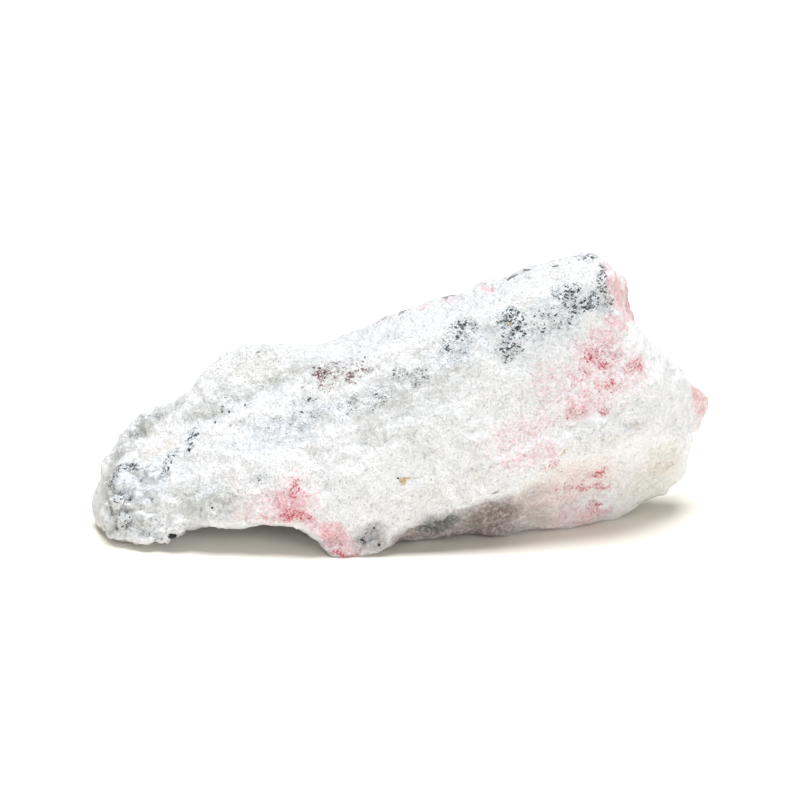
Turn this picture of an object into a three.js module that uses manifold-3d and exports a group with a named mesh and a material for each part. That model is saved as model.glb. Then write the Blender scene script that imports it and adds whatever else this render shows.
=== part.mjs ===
// A rough, broken piece of tugtupite-bearing rock, about 67 x 25 x 29 mm, as a hand specimen.
// Millimetres, +Z up. The stone rests on z = 0 on a few small worn flats, with its long side
// along X and its broad, sloping front face towards -Y. It grew and broke as one piece, so it is
// one closed solid: convex lumps, each the hull of a few corners, are run into each other, and
// then get the swells, bedding ledges and coarse grain of a granular, layered rock.
import * as THREE from "three";
import { ConvexHull } from "three/addons/math/ConvexHull.js";
import { ImprovedNoise } from "three/addons/math/ImprovedNoise.js";
import { mergeVertices } from "three/addons/utils/BufferGeometryUtils.js";
import Module from "manifold-3d";

// Corners of the lumps. Some are placed as [x, y, z]. The others are told as they look from in
// front and above: how far across and down they are seen, and how far behind the toe they lie.
const VIEW = {
  middle: 400, // across and down to the middle of what is seen
  focal: 2000, // its focal length, in the same units
  tilt: THREE.MathUtils.degToRad(16), // how steeply it looks down
  distance: 211, // from the eye to the middle of the stone
};
const TOE = { across: 345, down: 559.5, y: -12.5 }; // the front of the foot, on the floor
const TENTHS = 10; // a seen corner is taken to a tenth of a millimetre

// The point at a given y that is seen at one place, with the middle of the stone at zero.
function sight(across, down, y) {
  const right = (across - VIEW.middle) / VIEW.focal;
  const up = (VIEW.middle - down) / VIEW.focal;
  const inwards = Math.cos(VIEW.tilt) + up * Math.sin(VIEW.tilt);
  const upwards = up * Math.cos(VIEW.tilt) - Math.sin(VIEW.tilt);
  const reach = (y + VIEW.distance * Math.cos(VIEW.tilt)) / inwards;
  return [reach * right, y, VIEW.distance * Math.sin(VIEW.tilt) + reach * upwards];
}

// A corner from where it is seen, measured up from the floor that the toe stands on.
function seen(across, down, behind) {
  const [x, y, z] = sight(across, down, TOE.y + behind);
  const floor = sight(TOE.across, TOE.down, TOE.y)[2];
  return [x, y, z - floor].map((n) => Math.round(n * TENTHS) / TENTHS);
}

const LUMPS = {
  // The long plate that carries the broad front face and the white upper ledge.
  slab: [
    seen(108, 529, 5.1), seen(201, 525, 1.3), seen(292, 523, 1), seen(420, 525, 1.5),
    seen(480, 500, 3), seen(572, 441, 5.5), seen(640, 431, 8), seen(126, 463, 9),
    seen(205, 429, 8), seen(450, 325, 10), seen(520, 300, 10.5), seen(588, 283, 11),
    seen(610, 268, 13.5), seen(600, 246, 15), seen(440, 300, 19), seen(405, 309, 19),
    [-26, 6, 2.5], [-24, 7, 7], [-8, 8, 12], [20, 8, 22], [23, 9, 10], [14, 8, 2], [-18, 5, 1],
  ],
  // The rounded layer that stands up behind the plate on the left.
  hump: [
    seen(160, 440, 10.6), seen(205, 424, 10.2), seen(250, 404, 10.2), seen(300, 387, 10.8),
    seen(335, 369, 11.2), seen(163, 423, 12), seen(205, 399, 11.8), seen(250, 386, 11.6),
    seen(335, 357, 12.5), seen(226, 351, 16.5), seen(250, 345, 17), seen(336, 349, 16.5),
    [-22, 9, 10], [-14, 10.5, 16], [-5, 10.5, 16.5], [-20, 6, 4], [-4, 8, 6],
  ],
  // The blunt left end, broken across the layers.
  leftEnd: [
    seen(93, 515, 10), seen(99, 485, 12), seen(113, 433, 13), seen(128, 418, 13.5),
    seen(148, 408, 14.5), seen(184, 397, 16), seen(112, 533, 4.3), seen(115, 500, 5.1),
    seen(123, 470, 7.5), seen(142, 444, 9.5), seen(200, 430, 9.5), seen(139, 542, 2),
    seen(162, 543, 1.6), seen(184, 537, 1.5), seen(95, 523, 7.9), [-28, -4.5, -0.6],
    [-24, -4.5, -0.5], [-27, -1, -0.3], [-27, 3, 0.8], [-30, 3, 1.5], [-26, 7, 3], [-27, 6, 8],
    [-22, 9, 9],
  ],
  // The foot under the middle of the front edge.
  foot: [
    seen(298, 524, 1), seen(346, 560, 0), seen(358, 558.5, 0.3), seen(400, 540, 1.6),
    seen(310, 500, 2.5), seen(370, 505, 2.5), [-6, -11.6, -0.8], [-7.2, -9, -0.8],
    [-3, -9.5, -0.8], [-6, -5, -0.3], [-10, -2, 4], [2, -4, 4],
  ],
  // The undercut lower right side and the sole it rests on.
  belly: [
    seen(408, 536, 4.7), seen(465, 535, 5.3), seen(509, 532, 6.1), seen(573, 528, 9.6),
    seen(602, 524, 11), seen(618, 516, 13.5), seen(641, 505, 15.5), seen(664, 495, 16.5),
    seen(684, 474, 17), seen(690, 455, 16), seen(690, 438, 14.5), seen(455, 511, 3.5),
    seen(480, 499, 3.6), seen(575, 441, 6), seen(640, 432, 8.3), [19, 2, -0.3], [11, -1.5, -0.5],
    [14, 8, 0.8], [24, 9, 3], [29, 6, 8], [4, 6, 2],
  ],
  // The right end, with its pale rim.
  rightEnd: [
    seen(635, 324, 14), seen(650, 339, 13.5), seen(686, 376, 16.5), seen(690, 400, 15.5),
    seen(690, 440, 15), seen(640, 345, 11), seen(660, 385, 10.5), seen(664, 415, 10),
    seen(668, 432, 10.5), seen(640, 431, 8), seen(606, 312, 11.6), [20, 7, 23], [25, 9, 18],
    [29, 9, 14], [29, 8, 8], [16, 0, 5], [16, 8, 4], [16, 8, 19], [16, 0, 19], [26, 3, 3.5],
  ],
  // The thin ledge that juts out low at the right.
  lip: [
    seen(604, 521, 12), seen(616, 517, 13.5), seen(653, 501, 16), seen(671, 485, 17),
    seen(684, 473, 17), seen(690, 455, 16.5), seen(665, 470, 13), [20, 9, 3], [26, 9, 6],
    [22, 9, 1],
  ],
  // The steep shoulder between the peak and the rim.
  shoulder: [
    seen(611, 266, 15.5), seen(624, 281, 18), seen(637, 324, 18), seen(613, 328, 12),
    seen(600, 282, 12.5), [16, 4, 26], [14, 10, 22], [24, 11, 18], [12, 5, 16], [22, 10, 22],
  ],
  // The pointed lump behind the rim.
  nub: [
    seen(690, 380, 18.5), seen(717, 406, 21.5), seen(713, 415, 21.5), seen(699, 434, 20.5),
    seen(690, 441, 19), [24, 10, 9], [24, 10, 16.5], [27, 3, 12],
  ],
  // The back of the stone.
  back: [
    [-22, 8.5, 3], [-21, 9, 9], [-15, 11.5, 8], [-12, 9.5, 15.5], [0, 9, 20.5], [9, 9, 23],
    [19, 9, 24], [24, 9.5, 18.5], [27, 9.5, 13], [27, 9, 8], [0, 12.5, 10], [14, 12.5, 13],
    [24, 11, 14], [22, 8, 2], [9, 9, 1], [-2, 8, -0.7], [-7, 6, 0.2], [-5, 0, 2.2], [1, 6, 21],
    [12, 4.5, 25], [18, 4, 26.3],
  ],
  // A knob on the crest.
  crestKnob: [
    seen(475, 283, 18.5), seen(483, 279, 18.5), seen(499, 280, 18.5), seen(480, 294, 16.5),
    seen(497, 294, 16.5), [6, 10, 20], [11, 10, 21], [8, 2, 19],
  ],
  // The broken step in the crest before the peak.
  crestStep: [
    seen(515, 277, 17.5), seen(522, 270, 17.5), seen(548, 269, 17), seen(518, 286, 15),
    seen(562, 274, 14.5), [14, 9, 22], [20, 9, 24], [14, 4, 20],
  ],
};
const SEAM = 1; // how far two lumps run into each other where they meet
const WEAR = 0.1; // how far the lumps are let out, which their worn corners then lose again

// The layers run up to the right and dip towards the front.
const BEDDING_NORMAL = new THREE.Vector3(-0.33, -0.35, 0.88).normalize();
const SWELL = { size: 9, height: 0.55, seed: 1.7 };
const GRAIN = { size: 3.2, height: 0.4, seed: 5.3 };
const LEDGE = {
  spacing: 3.4,
  height: 0.5,
  riser: 0.25, // share of a step that is its short, steep side
  wander: { size: 7, seed: 3.1, share: 0.5 }, // how far the steps stray off the layers
  fade: { size: 11, seed: 8.7, share: 0.8 }, // how unevenly they stand out
  strength: 0.6, // how far they stand out on the whole
};

const CELL = 1.25; // cell of the net that is drawn over the stone
const ROOM = 2.5; // empty room left round the lumps for the net
const CRACK_FILL = 0.2; // how deep the filling of a crack stands below its brim
const SNUG_STEPS = 2; // how often each point of the net is drawn onto the surface
const SNUG_REACH = 0.3; // how far it may be drawn, as a share of a cell
const SLOPE_STEP = 0.05; // how far to each side of a point the slope is taken
const TINY_SLOPE = 1e-6; // keeps a flat spot from being divided by nothing
const SAME_POINT = 1e-4; // corners nearer than this are one corner
const FLOOR = { width: 200, depth: 10 };

const noise = new ImprovedNoise();
const bumps = (p, { size, seed }) =>
  noise.noise(p[0] / size + seed, p[1] / size - seed, p[2] / size + 2 * seed);

// How far a point lies outside a convex lump: its distance from the nearest face plane.
function convexLump(corners) {
  const hull = new ConvexHull().setFromPoints(corners.map((c) => new THREE.Vector3(...c)));
  const planes = hull.faces.map((f) => [...f.normal.toArray(), f.constant]);
  return (p) => {
    let outside = -Infinity;
    for (const [a, b, c, d] of planes) {
      outside = Math.max(outside, a * p[0] + b * p[1] + c * p[2] - d);
    }
    return outside;
  };
}

// The smaller of two distances, with the crease between them filled a little.
function blend(a, b, width) {
  const share = Math.max(width - Math.abs(a - b), 0) / width;
  return Math.min(a, b) - (share * share * width) / 4;
}

// Broken steps along the layers: a slow rise, then a short riser.
function ledges(p) {
  const up = BEDDING_NORMAL.x * p[0] + BEDDING_NORMAL.y * p[1] + BEDDING_NORMAL.z * p[2];
  const turn = up / LEDGE.spacing + LEDGE.wander.share * bumps(p, LEDGE.wander);
  const phase = turn - Math.floor(turn);
  const slope = 1 - LEDGE.riser;
  const rise = phase < slope ? phase / slope : (1 - phase) / LEDGE.riser;
  const strength = LEDGE.strength + LEDGE.fade.share * bumps(p, LEDGE.fade);
  return LEDGE.height * strength * (rise - 0.5);
}

const relief = (p) =>
  SWELL.height * bumps(p, SWELL) + GRAIN.height * bumps(p, GRAIN) + ledges(p);

const lumps = Object.values(LUMPS).map(convexLump);
const stone = (p) =>
  lumps.map((lump) => lump(p)).reduce((a, b) => blend(a, b, SEAM)) - WEAR - relief(p);

// Where the field rises fastest, by small differences.
function slopeOf(field, p) {
  return [0, 1, 2].map((axis) => {
    const ahead = [...p];
    const behind = [...p];
    ahead[axis] += SLOPE_STEP;
    behind[axis] -= SLOPE_STEP;
    return (field(ahead) - field(behind)) / (2 * SLOPE_STEP);
  });
}

// Draws a point onto the surface, but not out of its own cell.
function snug(field, start) {
  const reach = SNUG_REACH * CELL;
  let p = start;
  for (let i = 0; i < SNUG_STEPS; i += 1) {
    const slope = slopeOf(field, p);
    const steep = slope.reduce((sum, s) => sum + s * s, TINY_SLOPE);
    const value = field(p);
    p = p.map((x, axis) => {
      const moved = x - (value * slope[axis]) / steep;
      return THREE.MathUtils.clamp(moved, start[axis] - reach, start[axis] + reach);
    });
  }
  return p;
}

// The eight corners of a cell, and its edges as pairs of corners.
const CORNERS = [0, 1, 2, 3, 4, 5, 6, 7].map((c) => [c & 1, (c >> 1) & 1, c >> 2]);
const EDGES = CORNERS.flatMap((_, c) =>
  [1, 2, 4].filter((bit) => !(c & bit)).map((bit) => [c, c | bit]),
);

// Whether some corners of a cell all hang together along its edges.
function together(corners) {
  const reached = new Set(corners.slice(0, 1));
  for (let i = 0; i < corners.length; i += 1) {
    for (const [a, b] of EDGES) {
      if (reached.has(a) && corners.includes(b)) reached.add(b);
      if (reached.has(b) && corners.includes(a)) reached.add(a);
    }
  }
  return reached.size === corners.length;
}

// A net of points, one in each cell that the surface passes through, joined across the cells.
function surfaceNet(field, low, high) {
  const count = high.map((h, axis) => Math.ceil((h - low[axis]) / CELL) + 1);
  const stride = [1, count[0], count[0] * count[1]];
  const place = (i, j, k) => [low[0] + i * CELL, low[1] + j * CELL, low[2] + k * CELL];
  const values = [];
  for (let k = 0; k < count[2]; k += 1) {
    for (let j = 0; j < count[1]; j += 1) {
      for (let i = 0; i < count[0]; i += 1) values.push(field(place(i, j, k)));
    }
  }
  const inside = (n) => values[n] < 0;
  const offset = CORNERS.map((c) => c[0] * stride[0] + c[1] * stride[1] + c[2] * stride[2]);
  const cells = [];
  for (let k = 0; k < count[2] - 1; k += 1) {
    for (let j = 0; j < count[1] - 1; j += 1) {
      for (let i = 0; i < count[0] - 1; i += 1) cells.push([i, j, k]);
    }
  }
  const numberOf = ([i, j, k]) => i + j * stride[1] + k * stride[2];

  // Cracks finer than a cell are filled, so the surface never touches itself.
  let filled = true;
  while (filled) {
    filled = false;
    for (const cell of cells.map(numberOf)) {
      const air = [0, 1, 2, 3, 4, 5, 6, 7].filter((c) => !inside(cell + offset[c]));
      const rock = [0, 1, 2, 3, 4, 5, 6, 7].filter((c) => inside(cell + offset[c]));
      if (together(air) && together(rock)) continue;
      for (const c of air) values[cell + offset[c]] = -CRACK_FILL;
      filled = true;
    }
  }

  const points = [];
  const pointOf = new Map();
  for (const home of cells) {
    const cell = numberOf(home);
    const crossed = EDGES.filter(([a, b]) => inside(cell + offset[a]) !== inside(cell + offset[b]));
    if (!crossed.length) continue;
    const middle = [0, 0, 0];
    for (const [a, b] of crossed) {
      const from = values[cell + offset[a]];
      const share = from / (from - values[cell + offset[b]]);
      for (const axis of [0, 1, 2]) {
        const along = CORNERS[a][axis] + share * (CORNERS[b][axis] - CORNERS[a][axis]);
        middle[axis] += along / crossed.length;
      }
    }
    pointOf.set(cell, points.length / 3);
    points.push(...snug(field, place(...home.map((n, axis) => n + middle[axis]))));
  }

  const triangles = [];
  for (const cell of pointOf.keys()) {
    for (const axis of [0, 1, 2]) {
      const next = cell + stride[axis];
      if (inside(cell) === inside(next)) continue;
      const back = stride[(axis + 1) % 3];
      const side = stride[(axis + 2) % 3];
      const ring = [cell, cell - back, cell - back - side, cell - side].map((c) => pointOf.get(c));
      if (!inside(cell)) ring.reverse();
      triangles.push(ring[0], ring[1], ring[2], ring[0], ring[2], ring[3]);
    }
  }
  return new THREE.BufferGeometry()
    .setAttribute("position", new THREE.Float32BufferAttribute(points, 3))
    .setIndex(triangles);
}

const wasm = await Module();
wasm.setup();

// A closed three.js geometry as a manifold solid, and back.
function solidFrom(geometry) {
  const bare = geometry.clone().deleteAttribute("normal").deleteAttribute("uv");
  const merged = mergeVertices(bare, SAME_POINT);
  return new wasm.Manifold(
    new wasm.Mesh({
      numProp: 3,
      vertProperties: merged.attributes.position.array,
      triVerts: new Uint32Array(merged.index.array),
    }),
  );
}

function geometryFrom(solid) {
  const mesh = solid.getMesh();
  return new THREE.BufferGeometry()
    .setAttribute("position", new THREE.BufferAttribute(mesh.vertProperties, 3))
    .setIndex(new THREE.BufferAttribute(mesh.triVerts, 1));
}

// The lowest points are worn flat where the stone stands.
function wornFlat(geometry) {
  const floor = new THREE.BoxGeometry(FLOOR.width, FLOOR.width, FLOOR.depth);
  floor.translate(0, 0, -FLOOR.depth / 2);
  return geometryFrom(solidFrom(geometry).subtract(solidFrom(floor)));
}

function stoneGeometry() {
  const box = new THREE.Box3().setFromPoints(
    Object.values(LUMPS).flat().map((c) => new THREE.Vector3(...c)),
  );
  box.expandByScalar(ROOM);
  return wornFlat(surfaceNet(stone, box.min.toArray(), box.max.toArray()));
}

const stoneMesh = new THREE.Mesh(
  stoneGeometry(),
  new THREE.MeshStandardMaterial({ color: 0xe6e0de, roughness: 0.75, metalness: 0 }),
);
stoneMesh.name = "tugtupite_stone";
stoneMesh.geometry.computeBoundingBox();
const middle = stoneMesh.geometry.boundingBox.getCenter(new THREE.Vector3());
stoneMesh.geometry.translate(-middle.x, -middle.y, 0);

const specimen = new THREE.Group();
specimen.add(stoneMesh);
export default specimen;
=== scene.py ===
# A rough hand specimen of tugtupite: a sugary white rock with a dark flaky layer
# under its crest, pink to red tugtupite in blotches, and a grey rind at its left end.
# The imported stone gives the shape.  Here a finer copy of it gets broken ledges, grains
# and colours.  Lengths are in millimetres, and become metres where Blender takes them.

import math

import bpy
import numpy as np
from mathutils import Euler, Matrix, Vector, noise
from mathutils.bvhtree import BVHTree


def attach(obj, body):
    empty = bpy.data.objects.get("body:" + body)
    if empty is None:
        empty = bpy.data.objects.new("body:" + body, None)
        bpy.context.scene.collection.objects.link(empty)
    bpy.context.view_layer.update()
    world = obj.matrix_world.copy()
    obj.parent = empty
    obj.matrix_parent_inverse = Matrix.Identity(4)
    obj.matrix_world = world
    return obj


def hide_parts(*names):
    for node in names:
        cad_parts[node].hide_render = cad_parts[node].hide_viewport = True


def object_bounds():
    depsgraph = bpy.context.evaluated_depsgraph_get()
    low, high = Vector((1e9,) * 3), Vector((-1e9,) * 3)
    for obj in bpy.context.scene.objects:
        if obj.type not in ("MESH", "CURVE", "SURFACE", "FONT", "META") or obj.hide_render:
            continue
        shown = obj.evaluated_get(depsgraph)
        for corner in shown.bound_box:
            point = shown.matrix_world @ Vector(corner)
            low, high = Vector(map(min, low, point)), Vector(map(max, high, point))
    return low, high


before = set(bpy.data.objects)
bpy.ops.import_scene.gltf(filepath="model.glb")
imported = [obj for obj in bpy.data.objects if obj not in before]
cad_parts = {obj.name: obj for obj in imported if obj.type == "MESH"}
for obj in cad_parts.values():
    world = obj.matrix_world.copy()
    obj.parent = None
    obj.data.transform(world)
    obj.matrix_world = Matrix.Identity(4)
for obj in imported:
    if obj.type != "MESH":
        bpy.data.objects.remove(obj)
cad_low, cad_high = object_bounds()

STONE = "tugtupite_stone"
BODY = "root"
SPECIMEN = "tugtupite_specimen"
METRES = 0.001  # a millimetre in metres
MILLIMETRES = 1000.0  # a metre in millimetres

# ---------------------------------------------------------------- camera and light

CAMERA_AT = (-0.64, -203.19, 71.39)
CAMERA_DOWN = 16  # how far below level the camera looks, in degrees
LENS = 90
SENSOR = 36
CLIP_START = 1


def make_camera():
    data = bpy.data.cameras.new("camera")
    data.lens = LENS
    data.sensor_width = SENSOR
    data.clip_start = CLIP_START * METRES
    camera = bpy.data.objects.new("camera", data)
    camera.location = Vector(CAMERA_AT) * METRES
    camera.rotation_euler = (math.radians(90 - CAMERA_DOWN), 0, 0)
    bpy.context.scene.collection.objects.link(camera)
    bpy.context.scene.camera = camera


SKY = (1.0, 0.93, 0.8)
SKY_STRENGTH = 0.18
# Each lamp: strength, width of its disc in degrees, colour and where it shines from.
LAMPS = {
    "overhead_panel": (4.0, 42, (0.985, 1.0, 1.03), (0.0, 0.2, 1.0)),
    "front_fill": (1.7, 60, (0.985, 1.0, 1.03), (0.42, -1.0, 0.17)),
}


def make_light():
    world = bpy.data.worlds.new("soft_box")
    world.use_nodes = True
    sky = world.node_tree.nodes["Background"]
    sky.inputs["Color"].default_value = (*SKY, 1)
    sky.inputs["Strength"].default_value = SKY_STRENGTH
    bpy.context.scene.world = world
    for name, (strength, width, hue, source) in LAMPS.items():
        data = bpy.data.lights.new(name, "SUN")
        data.color = hue
        data.energy = strength
        data.angle = math.radians(width)
        lamp = bpy.data.objects.new(name, data)
        lamp.rotation_euler = Vector(source).to_track_quat("Z", "Y").to_euler()
        bpy.context.scene.collection.objects.link(lamp)
    bpy.context.scene.view_settings.view_transform = "Standard"


# ---------------------------------------------------------------- node helpers


def add(tree, kind, inputs=None, **settings):
    """A node with its settings, and its inputs set to values or linked to sockets."""
    made = tree.nodes.new(kind)
    for name, value in settings.items():
        setattr(made, name, value)
    for name, value in (inputs or {}).items():
        plug(tree, made.inputs[name], value)
    return made


def plug(tree, socket, value):
    if isinstance(value, bpy.types.NodeSocket):
        tree.links.new(value, socket)
    else:
        socket.default_value = value


def sums(tree, operation, *values, clamp=False):
    """The output of a Math node."""
    made = add(tree, "ShaderNodeMath", operation=operation, use_clamp=clamp)
    for socket, value in zip(made.inputs, values):
        plug(tree, socket, value)
    return made.outputs[0]


def arrows(tree, operation, *values, scale=None):
    """The output of a Vector Math node: a number for a dot product or a length, else a
    vector."""
    made = add(tree, "ShaderNodeVectorMath", operation=operation)
    for socket, value in zip(made.inputs, values):
        plug(tree, socket, value)
    if scale is not None:
        plug(tree, made.inputs["Scale"], scale)
    return made.outputs["Value" if operation in ("DOT_PRODUCT", "LENGTH") else "Vector"]


def ramp(tree, value, start, end, low=0.0, high=1.0):
    """A smooth step from low to high as value goes from start to end."""
    made = add(tree, "ShaderNodeMapRange", interpolation_type="SMOOTHSTEP")
    for name, number in (("Value", value), ("From Min", start), ("From Max", end),
                         ("To Min", low), ("To Max", high)):
        plug(tree, made.inputs[name], number)
    return made.outputs["Result"]


def blend(tree, amount, under, over):
    """The colour over laid on the colour under.  A Mix node's sockets for its factor and
    its colours go by number, as they share their names with others."""
    made = add(tree, "ShaderNodeMix", data_type="RGBA", clamp_factor=True)
    plug(tree, made.inputs[0], amount)
    plug(tree, made.inputs[6], under)
    plug(tree, made.inputs[7], over)
    return made.outputs[2]


def cloud(tree, at, size, detail=2.0, roughness=0.5):
    """Soft noise from 0 to 1, its blobs about size across."""
    scaled = arrows(tree, "SCALE", at, scale=1 / size)
    return add(tree, "ShaderNodeTexNoise", {"Vector": scaled, "Scale": 1.0, "Detail": detail,
                                            "Roughness": roughness}).outputs[0]


def cells(tree, at):
    """What a Voronoi texture says of each place, its cells about one unit across."""
    return add(tree, "ShaderNodeTexVoronoi", {"Vector": at, "Scale": 1.0}).outputs


def centred(tree, random):
    """A random colour as a vector whose parts go from -0.5 to 0.5."""
    return arrows(tree, "SUBTRACT", random, (0.5, 0.5, 0.5))


def facets(tree, at, cell):
    """The height of a flat in each cell, which leans its own way."""
    offset = arrows(tree, "SUBTRACT", at, cell["Position"])
    return arrows(tree, "DOT_PRODUCT", offset, centred(tree, cell["Color"]))


def stretched(tree, place, tilt, *sizes):
    """A place turned by tilt as the front shows it, then measured in the three sizes."""
    turned = add(tree, "ShaderNodeVectorRotate",
                 {"Vector": place, "Axis": (0, 1, 0), "Angle": tilt},
                 rotation_type="AXIS_ANGLE").outputs[0]
    size = add(tree, "ShaderNodeCombineXYZ", dict(zip("XYZ", sizes))).outputs[0]
    return arrows(tree, "DIVIDE", turned, size)


def new_group(kind, name, takes, gives):
    """A node group with named sockets, and the sockets that its own nodes are linked to.
    takes holds (name, socket type, default), and gives (name, socket type)."""
    tree = bpy.data.node_groups.new(name, kind)
    for label, socket_type, value in takes:
        socket = tree.interface.new_socket(name=label, in_out="INPUT",
                                           socket_type=socket_type)
        if value is not None:
            socket.default_value = value
    for label, socket_type in gives:
        tree.interface.new_socket(name=label, in_out="OUTPUT", socket_type=socket_type)
    given = tree.nodes.new("NodeGroupInput").outputs
    out = tree.nodes.new("NodeGroupOutput").inputs
    return tree, given, out


# ---------------------------------------------------------------- the fine stone

BEDDING = Vector((-0.33, -0.35, 0.88)).normalized()
BEDDING_TURN = tuple(BEDDING.rotation_difference(Vector((0, 0, 1))).to_euler())
WELD_WITHIN = 0.001
VOXEL = 0.26
SOFTEN_TURNS = 6
SOFTEN = 0.6

# What the relief is made of.
RELIEF = {
    "Lump Size": 1.9,
    "Lump Height": 0.9,
    "Ledge Spacing": 1.2,
    "Ledge Height": 0.2,
    "Chip Size": 1.15,
    "Chip Height": 0.42,
    "Grain Size": 0.62,
    "Grain Height": 0.3,
    "Knob Size": 1.7,
    "Knob Height": 0.7,
}
WANDER_SIZE = 4.0  # the ledges run up and down in waves of this size and height
WANDER_HEIGHT = 2.0
RISER = 0.25  # how much of the way from one ledge to the next is steep
LEDGE_GAP_SIZE = 3.0
LEDGE_GAPS = (0.4, 0.55)  # the levels of a cloud at which ledges start and are whole
PLAIN_ROUGHNESS = 0.35  # how much of chips and grains shows where nothing is knobbly
KNOB_EDGE = (0.75, 0.15)  # how far from a knob's middle its flank ends and its top starts
KNOB_SINK = 0.6  # how far the ground between knobs sinks, as a part of their height
REST_HEIGHTS = (0.02, 0.3)  # how high above the floor the relief starts and is whole


def broken_relief():
    """Geometry nodes that break a smooth stone into lumps, ledges, chips and grains."""
    takes = [("Geometry", "NodeSocketGeometry", None)]
    takes += [(name, "NodeSocketFloat", value) for name, value in RELIEF.items()]
    takes.append(("Finish", "NodeSocketMaterial", None))
    tree, given, out = new_group("GeometryNodeTree", "broken_relief", takes,
                                 [("Geometry", "NodeSocketGeometry")])
    place = tree.nodes.new("GeometryNodeInputPosition").outputs[0]
    at = arrows(tree, "SCALE", place, scale=MILLIMETRES)
    outwards = tree.nodes.new("GeometryNodeInputNormal").outputs[0]
    knobbly = add(tree, "GeometryNodeInputNamedAttribute", {"Name": "knobbly"},
                  data_type="FLOAT").outputs["Attribute"]

    def scaled(size):
        return arrows(tree, "SCALE", at, scale=sums(tree, "DIVIDE", 1.0, given[size]))

    def flats(kind):
        """Chips or grains, each a flat that leans its own way."""
        vector = scaled(f"{kind} Size")
        return sums(tree, "MULTIPLY", facets(tree, vector, cells(tree, vector)),
                    given[f"{kind} Height"])

    lump = add(tree, "ShaderNodeTexNoise", {"Vector": scaled("Lump Size"), "Scale": 1.0,
                                            "Detail": 5.0, "Roughness": 0.65}).outputs[0]
    lump = sums(tree, "MULTIPLY", sums(tree, "SUBTRACT", lump, 0.5), given["Lump Height"])

    level = arrows(tree, "DOT_PRODUCT", at, tuple(BEDDING))
    wander = sums(tree, "MULTIPLY", cloud(tree, at, WANDER_SIZE), WANDER_HEIGHT)
    level = sums(tree, "DIVIDE", sums(tree, "ADD", level, wander), given["Ledge Spacing"])
    tread = sums(tree, "FRACT", level)
    riser = ramp(tree, tread, 0.0, RISER)
    ledge = sums(tree, "SUBTRACT", riser, tread)
    broken = ramp(tree, cloud(tree, at, LEDGE_GAP_SIZE), *LEDGE_GAPS)
    ledge = sums(tree, "MULTIPLY", sums(tree, "MULTIPLY", ledge, broken),
                 given["Ledge Height"])

    rough = sums(tree, "MULTIPLY", sums(tree, "ADD", flats("Chip"), flats("Grain")),
                 sums(tree, "ADD", knobbly, PLAIN_ROUGHNESS))

    dome = ramp(tree, cells(tree, scaled("Knob Size"))["Distance"], *KNOB_EDGE)
    dome = sums(tree, "MULTIPLY", sums(tree, "SUBTRACT", dome, KNOB_SINK),
                given["Knob Height"])
    rough = sums(tree, "ADD", rough, sums(tree, "MULTIPLY", dome, knobbly))

    height = sums(tree, "ADD", sums(tree, "ADD", lump, ledge), rough)
    above = add(tree, "ShaderNodeSeparateXYZ", {"Vector": at}).outputs["Z"]
    free = ramp(tree, above, *REST_HEIGHTS)
    move = arrows(tree, "SCALE", outwards,
                  scale=sums(tree, "MULTIPLY", sums(tree, "MULTIPLY", height, free), METRES))
    moved = add(tree, "GeometryNodeSetPosition", {"Geometry": given["Geometry"],
                                                  "Offset": move})
    kept = add(tree, "GeometryNodeStoreNamedAttribute",
               {"Geometry": moved.outputs[0], "Name": "relief", "Value": height},
               data_type="FLOAT", domain="POINT")
    real = add(tree, "GeometryNodeRealizeInstances", {"Geometry": kept.outputs[0]})
    dressed = add(tree, "GeometryNodeSetMaterial", {"Geometry": real.outputs[0],
                                                    "Material": given["Finish"]})
    tree.links.new(dressed.outputs[0], out["Geometry"])
    return tree


def plain_mesh(owner, name):
    """The mesh that the owner's modifiers make."""
    seen = bpy.context.evaluated_depsgraph_get()
    seen.update()
    mesh = bpy.data.meshes.new_from_object(owner.evaluated_get(seen))
    mesh.name = name
    return mesh


def merged_copy(node):
    """A copy of a CAD node's mesh with its loose triangles joined."""
    mesh = node.data.copy()
    mesh.name = "stone_copy"
    work = bpy.data.objects.new("stone_copy", mesh)
    bpy.context.scene.collection.objects.link(work)
    weld = work.modifiers.new("join", "WELD")
    weld.merge_threshold = WELD_WITHIN * METRES
    return work


def fine_stone(node, finish):
    """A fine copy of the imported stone, with its broken relief and its finish."""
    work = merged_copy(node)
    remesh = work.modifiers.new("cells", "REMESH")
    remesh.mode = "VOXEL"
    remesh.voxel_size = VOXEL * METRES
    smooth = work.modifiers.new("soften", "SMOOTH")
    smooth.factor = SOFTEN
    smooth.iterations = SOFTEN_TURNS
    mesh = plain_mesh(work, SPECIMEN)
    bpy.data.objects.remove(work)
    lay_fields(mesh, {"knobbly": KNOBBLY})
    lay_top_shade(mesh)

    stone = bpy.data.objects.new(SPECIMEN, mesh)
    bpy.context.scene.collection.objects.link(stone)
    tree = broken_relief()
    nodes = stone.modifiers.new("relief", "NODES")
    nodes.node_group = tree
    for socket in tree.interface.items_tree:
        if socket.in_out == "INPUT" and socket.name in RELIEF:
            nodes[socket.identifier] = RELIEF[socket.name]
        elif socket.name == "Finish":
            nodes[socket.identifier] = finish
    stone.data = plain_mesh(stone, SPECIMEN)
    stone.modifiers.remove(nodes)
    return stone


def points_of(mesh):
    """The places of a mesh's points, one row each."""
    places = np.empty(len(mesh.vertices) * 3)
    mesh.vertices.foreach_get("co", places)
    return places.reshape(-1, 3)


def keep_in_box(mesh):
    """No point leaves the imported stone's box, so the specimen rests on the floor.  Its faces
    are shaded smooth."""
    places = np.clip(points_of(mesh), np.array(cad_low), np.array(cad_high))
    mesh.vertices.foreach_set("co", places.ravel())
    mesh.polygons.foreach_set("use_smooth", [True] * len(mesh.polygons))
    mesh.update()


# ---------------------------------------------------------------- where the minerals are

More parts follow.
